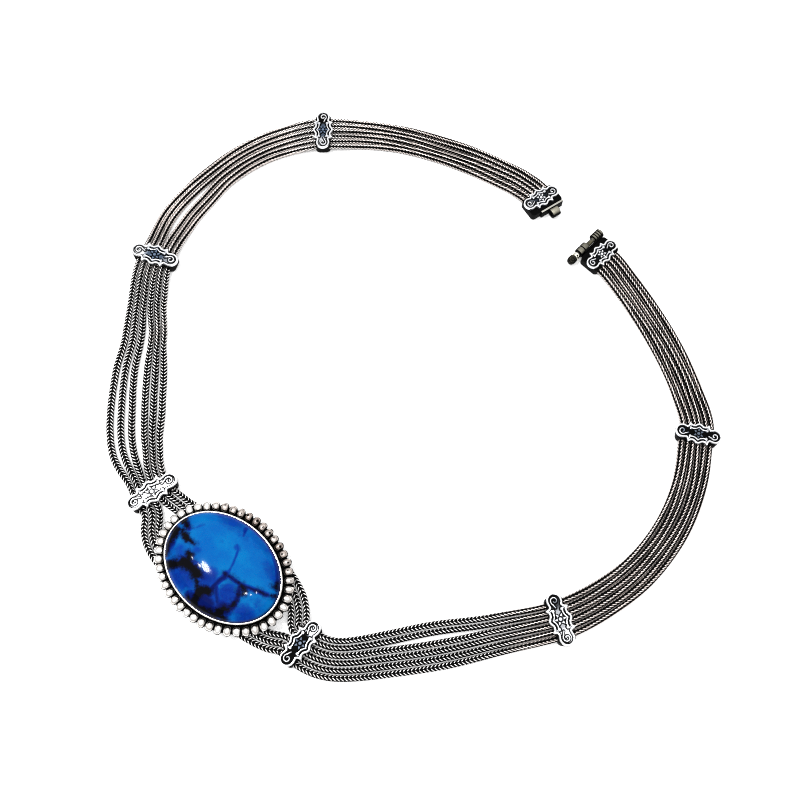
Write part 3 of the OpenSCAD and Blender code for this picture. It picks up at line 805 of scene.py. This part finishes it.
def build_pin():
    """Shaft, a ringed collar with a cross hole's mouth, and a domed knob."""
    shaft = FAR_BARREL_X[0] + PIN_INSET
    collar = NEAR_BARREL_X[1] + KNOB_GAP
    knob = collar + COLLAR_LEN
    profile = [(shaft + x, PIN_R - r) for x, r in SHAFT_STEPS] + [(collar, PIN_R)]
    profile += [(collar + x, COLLAR_R - r) for x, r in COLLAR_STEPS]
    profile += [(knob + x, KNOB_R - r) for x, r in KNOB_STEPS]
    profile += [(knob + DOME_FROM + (KNOB_LEN - DOME_FROM) * sin(a), KNOB_R * cos(a) ** DOME_POWER)
                for a in DOME_ANGLES]
    points, around, _ = turned(profile, PIN_SIDES)
    x = points[:, 0]
    beside = np.mod(around - HOLE_TURN + pi, 2 * pi) - pi
    gap = np.hypot(x - collar - HOLE_AT, COLLAR_R * beside)
    bright_from = collar + COLLAR_INSET[0]
    hole = np.where(x > bright_from, fade(*HOLE_EDGE, gap), 0)
    points[:, 1:] *= 1 - HOLE_DEPTH * hole[:, None]
    on_collar = ease(collar, bright_from, x) * (x < knob - COLLAR_INSET[1])
    crown = np.where(x < collar, PIN_SHINE[0], on_collar * PIN_SHINE[1]) * (1 - hole)
    wear = np.where(x > knob, *PIN_WEAR) * (1 - hole)
    poles = [[shaft, 0, 0], [knob + KNOB_LEN, 0, 0]]
    piece = Piece(*CLASP_ENDS["clasp_end_right"][:2])
    piece.add(np.r_[points, poles] + AXIS, *capped(len(profile), PIN_SIDES),
              crown=np.append(crown, POLE_SHINE), wear=np.append(wear, POLE_WEAR))
    piece.make("clasp_pin", "turned", "pin_silver", PIN_CREASE, body="pin")


# Pendant: setting with bezel, border of beads and staples

OVAL_SIDES = 160
BACK_OVER = 2.25
# Section of the backplate and the bezel: distance outside the stone, and height
SETTING_PROFILE = [(BACK_OVER - x, BACK_Z + z) for x, z in (
    (0.2, 0), (0.05, 0.06), (0, 0.2), (0, 0.55), (0.06, 0.66), (0.2, PLATE_Z - BACK_Z))]
SETTING_PROFILE += [(x, PLATE_Z + z) for x, z in (
    (0.5, 0), (0.4, 0.08), (0.36, 0.3), (0.33, 1.6), (0.31, 2.1), (0.25, 2.24), (0.14, BEZEL_H), (0.01, 2.28),
    (-0.03, 2.18), (0.02, 1.8), (0.05, 0))]
# Depths under the bezel's top between which it darkens, wear of its top, and how far in that reaches
BEZEL_LIMITS = (-0.4, -0.1)
BEZEL_WEAR = 0.4
BEZEL_INSIDE = -0.1
BEAD_AROUND = 24
BEAD_RINGS = 12
BEAD_SEED = 11
BEAD_SHAPE = np.array([1.22, 1.04, 0.97])
BEAD_SHIFT = 0.16
BEAD_SIZES = (0.95, 1.03)
BEAD_WANDER = 0.06
BEAD_DENT = 0.03
BEAD_WAVES = (3, 4)
# Beads on the stone's upper right side are duller: turn and limits of that side, and how dull they are drawn
DULL_TURN = 0.15
DULL_SIDE = (0.45, 0.85)
DULL_RANGE = (0.6, 1)
# Painted light and shade on each bead: limits between which it is painted lighter upwards, and painted shade
# darker outwards and towards its neighbours, and how much
PAINTED_BEAD_TOP_LIGHT = (0.15, 0.65)
PAINTED_BEAD_OUTER_SHADE = (0.7, 0.95)
PAINTED_BEAD_GAP_SHADE = (0.5, 0.85)
PAINTED_BEAD_SHADE_DEPTHS = (0.8, 0.9)
# Dark pit on a bead: middle and radius of the circle it is drawn on, its edge, and the light it takes from
# a bright bead and more from a dull one
PIT_MID = np.array([0.15, 0, 0.9])
PIT_RING = 0.3
PIT_EDGE = (0.12, 0.5)
PIT_DARK = (0.35, 0.6)
# Wear of a bright bead, and how much less of a dull one
BEAD_WEAR = (0.12, 0.32)
STAPLE_TOP = BACK_Z + 0.05
STAPLE_SHINE = 0.2


def oval(push, angle):
    """Places round the stone, so far outside its outline."""
    return np.stack([(STONE_HALF[0] + push) * np.cos(angle), (STONE_HALF[1] + push) * np.sin(angle)], -1)


def add_beads(piece):
    """Beads round the bezel, each drawn a little different."""
    draw = np.random.default_rng(BEAD_SEED)
    polar = np.linspace(0, pi, BEAD_RINGS + 1)[1:-1]
    p, a = np.meshgrid(polar, circle(BEAD_AROUND), indexing="ij")
    ball = np.stack([np.sin(p) * np.cos(a), np.sin(p) * np.sin(a), np.cos(p)], -1).reshape(-1, 3)
    ball = np.r_[ball, [[0, 0, 1], [0, 0, -1]]]
    faces = [block[:, ::-1] for block in capped(len(polar), BEAD_AROUND)]
    outwards, sideways, up = ball.T
    # Painted shade: each bead is drawn lighter on top and darker on its outer side and towards its neighbours
    painted_bead_shade = ease(*PAINTED_BEAD_TOP_LIGHT, up) * (1 - PAINTED_BEAD_SHADE_DEPTHS[0] * ease(*PAINTED_BEAD_OUTER_SHADE, outwards))
    painted_bead_shade = painted_bead_shade * (1 - PAINTED_BEAD_SHADE_DEPTHS[1] * ease(*PAINTED_BEAD_GAP_SHADE, abs(sideways)))
    ring = BEAD_RING - BEAD_SHIFT
    # Even spacing along the oval
    length, width = STONE_HALF + BEAD_RING
    lead = (length ** 2 - width ** 2) / (4 * (length ** 2 + width ** 2))
    around = circle(BEAD_COUNT)
    for angle in around + lead * np.sin(2 * around):
        out = unit(np.array([cos(angle), sin(angle)]) / (STONE_HALF + ring))
        dull = ease(*DULL_SIDE, sin(angle + DULL_TURN)) * draw.uniform(*DULL_RANGE)
        sizes = BEAD_SHAPE * (BEAD_D / 2) * draw.uniform(*BEAD_SIZES, 3)
        phase = draw.uniform(0, 2 * pi, 3)
        dent = np.sin(BEAD_WAVES[0] * outwards + phase[0]) + np.sin(BEAD_WAVES[1] * sideways + phase[1])
        spots = ball * sizes * (1 + BEAD_DENT * dent)[:, None]
        radial = spots[:, :1] + draw.uniform(-BEAD_WANDER, BEAD_WANDER)
        places = oval(ring, angle) + out * radial + left_of(out) * spots[:, 1:2]
        height = PLATE_Z + BEAD_D / 2 - BEAD_SINK + spots[:, 2]
        pit_at = PIT_MID + [PIT_RING * cos(phase[2]), PIT_RING * sin(phase[2]), 0]
        pit = fade(*PIT_EDGE, np.linalg.norm(ball - pit_at, axis=1))
        # The bead's painted shade, darkened further at its pit
        painted_shade_and_pits = painted_bead_shade * (1 - (PIT_DARK[0] + PIT_DARK[1] * dull) * pit)
        piece.add(np.column_stack([places, height]), *faces, crown=painted_shade_and_pits,
                  wear=BEAD_WEAR[0] - BEAD_WEAR[1] * dull, deep=dull)


def add_staples(piece):
    """Bridges under the backplate that the bundles run through."""
    inner = ROUTE[MID_STATION, SPACING] + CHAIN_W / 2 + TUNNEL_PLAY
    xs = np.array([-inner - WALL, -inner, inner, inner + WALL])
    filled = np.ones((3, 1, 2))
    filled[1, 0, 1] = 0
    solid = bevelled(*cell_solid(xs, (-STAPLE_W / 2, STAPLE_W / 2), (0, WALL, STAPLE_TOP), filled), BEVEL)
    for side in (-1, 1):
        for off in (-STAPLE_OFF, STAPLE_OFF):
            s = REACH[MID_STATION] + off
            piece.at = bundle_at(s, side)[0]
            piece.turn = turn_of(heading(bundle_at, s, side)[0])
            piece.add(*solid, crown=STAPLE_SHINE)


def build_setting():
    piece = Piece(STONE_AT, STONE_TURN)
    rows = len(SETTING_PROFILE)
    push, height = np.repeat(SETTING_PROFILE, OVAL_SIDES, axis=0).T
    points = np.column_stack([oval(push, np.tile(circle(OVAL_SIDES), rows)), height])
    on_rim = np.append(ease(*BEZEL_LIMITS, height - PLATE_Z - BEZEL_H) * (push > BEZEL_INSIDE), [0, 0])
    piece.add(np.r_[points, [[0, 0, BACK_Z], [0, 0, PLATE_Z]]], *capped(rows, OVAL_SIDES),
              crown=on_rim, wear=on_rim * BEZEL_WEAR)
    add_beads(piece)
    add_staples(piece)
    piece.make("pendant_setting", "beaded", "setting_silver", PIN_CREASE)


# Stone: a domed oval, with the distance to its veins and the depth of its blue kept on its points.
# Each vein has its half width at its start and end, then its points' x and y in the stone's own frame.
# The depth runs from 0, azure, past 1, royal blue, to 2, navy.

VEINS = [
    (1, 0.4, [-14.9, 2.4, -14.4, 2.2, -13.1, 1.9, -11.9, 1.6]),
    (0.65, 0.5, [-11.9, -0.1, -10.8, -0.2, -9.9, -0.6]),
    (0.35, 0, [-9.9, -0.6, -8.8, -0.4, -7.5, -0.4]),
    (1.3, 0.3, [-13.8, -0.9, -13.4, -1.6, -13.1, -2.8, -12.7, -4.4, -11.6, -6.2]),
    (0.7, 0.9, [-10.4, -8, -9.5, -7.7, -8.3, -6.6, -7, -5.3]),
    (1.25, 0.6, [-7, -4.9, -6.5, -3.9, -7.1, -2.9]),
    (1.15, 0.95, [-6.4, -4.6, -4.9, -4.8, -3.4, -4.8, -2.4, -5.1]),
    (0.2, 0.6, [-2.4, -5.3, -1.5, -6.2, 0, -6.9]), (1.1, 0.7, [0.3, -7.2, 1.5, -6.3, 2.4, -5.8]),
    (0.9, 1.3, [0.7, -7.4, 0.8, -8.9, 0.9, -10.2]),
    (0.5, 0.7, [-1, -10.3, 2, -10.4, 4.5, -9.8, 6.7, -9, 8.2, -8.4]),
    (0.35, 0.9, [8.4, -5.2, 8, -6.4, 6.9, -8.1]),
    (0, 0.3, [6.9, -1, 7.7, -2.3, 8.2, -3.6, 8.4, -5.2]), (0.2, 0.15, [2.2, -0.9, 3.1, -1]),
    (0, 0.15, [3.6, -0.8, 5.2, -0.6, 6.8, -0.5, 8.3, 0, 9.8, 0.6, 11, 1.1, 12.5, 1.6, 13.9, 2.8]),
    (0.6, 0.35, [7.2, -0.6, 8.4, -0.9, 8.7, -1.5]), (0.2, 0.5, [12.1, 5.3, 13, 4]),
]
# Lines without a black core, each with its depth after its half widths
FAINT_LINES = [
    (0.3, 0.2, 1.7, [-12.5, 1.9, -11.2, 1.4]), (0, 0, 0.8, [-11.1, 1.5, -10.1, 2.7, -9.2, 4.3]),
    (0.4, 0.3, 1.8, [2.3, -5.6, 2.3, -4.2, 2.4, -3, 2.8, -1.5, 2.6, -0.8]),
    (-0.1, 0, 1.2, [-0.1, 5.7, 0.9, 5, 1.5, 3.8, 2.2, 2.1, 2.6, 0.6, 2.9, -0.5]),
    (0.3, 0, 1.4, [-1.4, 9.7, -0.4, 8.1]), (0, 0, 0.7, [-6.7, 7, -5.2, 7]),
    (0.25, 0.5, 1.6, [2.7, -4.3, 3.9, -5.5, 5.3, -6.7, 6.9, -7.5]),
    (0.1, 0.3, 1.5, [4.3, 10.4, 7.4, 9.3, 10, 7.6, 12.2, 5.4]),
    (0.1, 0.2, 1.3, [-9.3, 8.4, -4.3, 10.3, 0, 10.8, 4.3, 10.4]),
    (0.1, 0.6, 1.9, [7, -1.2, 7.7, -2.3, 8.2, -3.6, 8.4, -5.2, 7.7, -6.8]),
    (0.1, 0.15, 1.8, [3.6, -0.8, 6.8, -0.5, 9.8, 0.6, 12.5, 1.6]),
]
# Soft patches of royal blue: middle, half sizes and strength
DEEP = [
    (-9.1, -4.4, 3, 2.8, 0.85), (-4.9, -7.9, 4.4, 2.6, 1.25), (0, -4, 2.8, 2.8, 1.25),
    (5.8, -3.9, 3, 3, 1.1), (12, -5.2, 3.6, 2.8, 1.15), (10.4, 6.4, 4.5, 2.6, 0.75),
    (4.6, 9.6, 6, 2.2, 0.6), (-5.6, 9.4, 7.5, 2.8, 0.8), (3.2, -8.6, 3.6, 2.6, 2.2),
    (-13, 2.6, 1.8, 1.6, 0.36), (7, -6.8, 2.4, 2.2, 1.9), (-0.6, -9.4, 1.8, 1.4, 1.6),
    (-4.2, -3.6, 2, 1.2, 1), (-12.4, -4.2, 1.5, 2, 1.8), (-6, -1.2, 1.6, 1.4, 0.8),
    (12.6, -1.2, 2.2, 1.6, 0.5), (0.4, 5.2, 1.3, 1, 0.6), (0.2, 8.2, 1.6, 1.2, 0.6),
]
STONE_CELLS = 150
# Limits of a patch in shares of its half sizes, and of a faint line in millimetres from its edge
PATCH_FADE = (0.2, 1.4)
LINE_EDGE = (-0.25, 0.75)
DOME_SPREAD = 0.3
# Distance past which a vein is no longer told apart
VEIN_REACH = 9


def build_stone():
    # Even grid on a disc of radius 1, spread a little outwards
    t = np.linspace(-1, 1, STONE_CELLS + 1)
    a, b = np.meshgrid(t, t, indexing="ij")
    wide = abs(a) > abs(b)
    safe_a, safe_b = [np.where(value == 0, TINY, value) for value in (a, b)]
    angle = np.where(wide, pi / 4 * b / safe_a, pi / 2 - pi / 4 * a / safe_b)
    radius = np.where(wide, a, b)
    x = radius * np.cos(angle)
    y = radius * np.sin(angle)
    spread = 1 + DOME_SPREAD - DOME_SPREAD * np.hypot(x, y) ** 2
    x = x * spread
    y = y * spread
    share = np.clip(np.hypot(x, y), 0, 1)
    z = GIRDLE_H + (STONE_H - GIRDLE_H) * np.sqrt(np.clip(1 - share ** (2 / DOME_FULLNESS), 0, 1))
    top = np.stack([x * STONE_HALF[0], y * STONE_HALF[1], STONE_Z + z], -1).reshape(-1, 3)
    index = np.arange(x.size).reshape(x.shape)
    border = np.r_[index[:-1, 0], index[-1, :-1], index[:0:-1, -1], index[0, :0:-1]]
    low = top[border] * [1, 1, 0] + [0, 0, STONE_Z + STONE_BEVEL]
    foot_share = 1 - STONE_BEVEL / STONE_HALF[0]
    foot = top[border] * [foot_share, foot_share, 0] + [0, 0, STONE_Z]
    points = np.r_[top, low, foot, [[0, 0, STONE_Z]]]
    low_at = len(top) + np.arange(len(border))
    foot_at = low_at + len(border)
    px, py = points[:, :2].T
    gap = np.min([line_gap(px, py, path, *ends) for *ends, path in VEINS], 0)
    depths = [deep * fade(*PATCH_FADE, np.hypot((px - x) / a, (py - y) / b)) for x, y, a, b, deep in DEEP]
    depths += [depth * fade(*LINE_EDGE, line_gap(px, py, path, *ends)) for *ends, depth, path in FAINT_LINES]
    # Share of the way out to the rim, kept for the painted shade along the stone's edge
    rim = np.hypot(px / STONE_HALF[0], py / STONE_HALF[1])
    piece = Piece(STONE_AT, STONE_TURN)
    piece.add(points, grid_quads(index), band(low_at, border), band(foot_at, low_at),
              fan(len(points) - 1, foot_at)[:, ::-1], crown=np.minimum(gap, VEIN_REACH), wear=rim,
              deep=np.max(depths, axis=0))
    piece.make("pendant_stone", "dome", "blue_stone", STONE_CREASE)


# Materials

OXIDE = (0.001, 0.001, 0.001)
OLIVE = (0.62, 0.58, 0.42)


class Shader:
    """Short names for the nodes of one material."""

    def __init__(self, name):
        self.material = bpy.data.materials.new(name)
        self.material.use_nodes = True
        self.tree = self.material.node_tree
        self.surface = self.tree.nodes["Principled BSDF"]
        self.where = self.tree.nodes.new("ShaderNodeTexCoord").outputs["Object"]

    def link(self, value, socket):
        if isinstance(value, bpy.types.NodeSocket):
            self.tree.links.new(value, socket)
        else:
            socket.default_value = (*value, 1) if isinstance(value, tuple) else value

    def node(self, kind, output, inputs, **settings):
        """One output of a new node with these inputs and settings."""
        node = self.tree.nodes.new("ShaderNode" + kind)
        for name, value in settings.items():
            setattr(node, name, value)
        for name, value in inputs.items():
            self.link(value, node.inputs[name])
        return node.outputs[output]

    def attribute(self, name):
        return self.node("Attribute", "Fac", {}, attribute_name=name)

    def noise(self, scale, detail, rough):
        inputs = dict(Scale=scale, Detail=detail, Roughness=rough, Vector=self.where)
        return self.node("TexNoise", "Fac", inputs)

    def math(self, operation, *values):
        return self.node("Math", "Value", dict(enumerate(values)), operation=operation)

    def total(self, first, *others):
        for value in others:
            first = self.math("ADD", first, value)
        return first

    def centred(self, value, amount):
        """A value between 0 and 1, spread so far about 0."""
        return self.math("MULTIPLY_ADD", value, amount, -amount / 2)

    def step(self, value, low, high, to_low=0, to_high=1):
        inputs = {"Value": value, "From Min": low, "From Max": high, "To Min": to_low, "To Max": to_high}
        return self.node("MapRange", "Result", inputs, interpolation_type="SMOOTHSTEP")

    def mix(self, amount, a, b):
        return self.node("Mix", 2, {"Factor": amount, 6: a, 7: b}, data_type="RGBA")

    def bump(self, height, distance):
        self.set(Normal=self.node("Bump", "Normal", dict(Strength=1, Distance=distance, Height=height)))

    def set(self, **sockets):
        for name, value in sockets.items():
            self.link(value, self.surface.inputs[name.replace("_", " ")])


def oxidised_silver(name, bright, worn, tint, cut, rough, uneven, scales, bump_depth):
    """Silver that is polished where it stands proud and black with oxide in its hollows. The tint shows where
    the deep value says so. Its brightness values also carry painted light: painted shade on the beads, a
    painted highlight band along the barrels' tops, and painted reflection in the plates' lobe-by-lobe ground."""
    shader = Shader(name)
    crown, wear, deep, warm = map(shader.attribute, VALUES)
    patches = shader.noise(scales[0], 3, 0.5)
    grain = shader.noise(scales[1], 2, 0.6)
    drift = shader.total(shader.centred(patches, 1.2 * uneven), shader.centred(grain, uneven))
    level = shader.total(crown, wear, drift)
    amount = shader.step(level, *cut)
    silver = shader.mix(shader.step(patches, 0.35, 0.65), bright, worn)
    silver = shader.mix(deep, silver, tint)
    silver = shader.mix(warm, silver, OLIVE)
    roughness = shader.total(shader.step(level, *cut, rough[1], rough[0]), shader.centred(grain, 0.16))
    shader.set(Base_Color=shader.mix(amount, OXIDE, silver), Metallic=amount, Specular_IOR_Level=0.03,
               Roughness=roughness)
    shader.bump(grain, bump_depth)
    return shader.material


def stone_material():
    """Dyed blue stone: azure clouded with royal blue, crossed by soft-edged black veins, polished, with
    painted shade darkening its rim.
    """
    shader = Shader("blue_stone")
    gap, rim, deep = map(shader.attribute, VALUES[:3])
    clouds = shader.noise(140, 4, 0.55)
    mottle = shader.noise(560, 4, 0.6)
    fine = shader.noise(2000, 3, 0.6)
    azure = shader.mix(shader.step(clouds, 0.36, 0.66), (0, 0.09, 0.34), (0, 0.14, 0.38))
    royal = shader.mix(shader.step(mottle, 0.35, 0.65), (0, 0.012, 0.17), (0, 0.034, 0.26))
    level = shader.total(deep, shader.centred(clouds, 1), shader.centred(mottle, 1.5))
    edge = shader.total(gap, shader.total(shader.centred(mottle, 2.8), shader.centred(fine, 0.9)))
    blue = shader.mix(shader.step(level, 0.1, 1), azure, royal)
    # Over the patches: a fine grain, navy, the veins' halos, the veins, and painted shade darkening the rim
    for amount, colour in (
        (shader.step(fine, 0.3, 0.7, 0, 0.18), (0, 0.045, 0.26)),
        (shader.step(level, 1, 1.95, 0, 0.9), (0, 0.002, 0.06)),
        (shader.step(edge, -0.2, 1.2, 0.9, 0), (0, 0.003, 0.07)),
        (shader.step(edge, -0.5, 0.55, 1, 0), (0.0006, 0.0006, 0.002)),
        (shader.step(rim, 0.955, 1, 0, 0.9), (0, 0.001, 0.03)),
    ):
        blue = shader.mix(amount, blue, colour)
    shader.set(Base_Color=blue, Specular_IOR_Level=0.06, Roughness=0.065)
    shader.bump(mottle, 0.000001)
    return shader.material


# Each silver's bright and dull colour, tint, limits of its oxide, roughness of bright and dark, unevenness,
# scales of its patches and grain, and depth of the grain
SILVERS = {
    "braided_silver": ((0.98, 0.97, 0.96), (0.82, 0.79, 0.77), (0.66, 0.58, 0.54),
        (0.35, 0.8), (0.28, 0.6), 0.4, (260, 3200), 0.000004),
    "slide_silver": ((0.88, 0.88, 0.89), (0.76, 0.77, 0.79), (0.16, 0.22, 0.32),
        (0.25, 0.85), (0.26, 0.6), 0.12, (420, 2600), 0.000004),
    "setting_silver": ((0.98, 0.96, 0.94), (0.78, 0.74, 0.7), (0.4, 0.32, 0.28),
        (0.15, 0.7), (0.22, 0.6), 0.4, (420, 2200), 0.000008),
    "pin_silver": ((0.86, 0.84, 0.74), (0.5, 0.46, 0.3), (0.42, 0.38, 0.24),
        (0.1, 1.1), (0.28, 0.6), 0.4, (700, 2600), 0.000006),
}
MATERIALS = {name: oxidised_silver(name, *look) for name, look in SILVERS.items()}
MATERIALS["blue_stone"] = stone_material()

for number in range(1, CHAINS + 1):
    build_chain(number)
for slide_node in SLIDES:
    build_slide(slide_node)
for end_node in CLASP_ENDS:
    build_clasp_end(end_node)
build_pin()
build_setting()
build_stone()


# Floor, in metres, then the lights, the world and the camera

FLOOR_HALF = 2
FLOOR_Z = -0.00003
floor_mesh = bpy.data.meshes.new("floor")
floor_corners = [(x * FLOOR_HALF, y * FLOOR_HALF, FLOOR_Z) for x, y in ((-1, -1), (1, -1), (1, 1), (-1, 1))]
floor_mesh.from_pydata(floor_corners, [], [(0, 1, 2, 3)])
floor_look = Shader("pale_floor")
floor_look.set(Base_Color=(0.98, 0.98, 0.98), Roughness=0.8, Specular_IOR_Level=0.1, Emission_Strength=0.15)
floor_mesh.materials.append(floor_look.material)
add_object("floor", floor_mesh)


def add_light(name, place, target, size, power):
    """Round soft light at a place that looks at a target, in millimetres and watts."""
    data = bpy.data.lights.new(name, "AREA")
    data.shape = "DISK"
    data.size = size * METRES
    data.energy = power
    way = np.subtract(target, place)
    obj = add_object(name, data)
    obj.location = np.array(place) * METRES
    obj.rotation_euler = (acos(-way[2] / np.linalg.norm(way)), 0, radians(turn_of(way)))


add_light("soft_box", (-40, 80, 800), (0, 0, 0), 2000, 7)
# Small lamps whose glints the stone shows
STONE_SPOT = (-43, -50, 8)
GLINTS = [
    ((-224, 22, 577), 50), ((-264, 20, 564), 18), ((-316, 53, 536), 13), ((-229, 47, 572), 10),
    ((1, -137, 601), 24), ((50, -152, 594), 20), ((121, -131, 582), 20),
]
GLINT_POWER = 0.0022
for number, (place, size) in enumerate(GLINTS, 1):
    add_light("glint_%d" % number, place, STONE_SPOT, size, GLINT_POWER * (size / 2) ** 2)

world = bpy.data.worlds.new("studio")
world.use_nodes = True
world.node_tree.nodes["Background"].inputs["Color"].default_value = (0.7, 0.7, 0.7, 1)
scene.world = world
scene.view_settings.view_transform = "Standard"
scene.cycles.filter_width = 1.0
# The denoiser wipes out links this fine
scene.cycles.use_denoising = False

# Camera at the photograph's angle above the table, and so far from the route's origin
CAMERA_UP = radians(70)
CAMERA_AWAY = 248.1
camera_data = bpy.data.cameras.new("camera")
camera_data.lens = 45
camera_data.sensor_width = 36
camera_data.clip_start = 0.01
camera = add_object("camera", camera_data)
away = np.array([0, -cos(CAMERA_UP), sin(CAMERA_UP)]) * CAMERA_AWAY
camera.location = (away - [*OUTLINE_MID, 0]) * METRES
camera.rotation_euler = (pi / 2 - CAMERA_UP, 0, 0)
scene.camera = camera
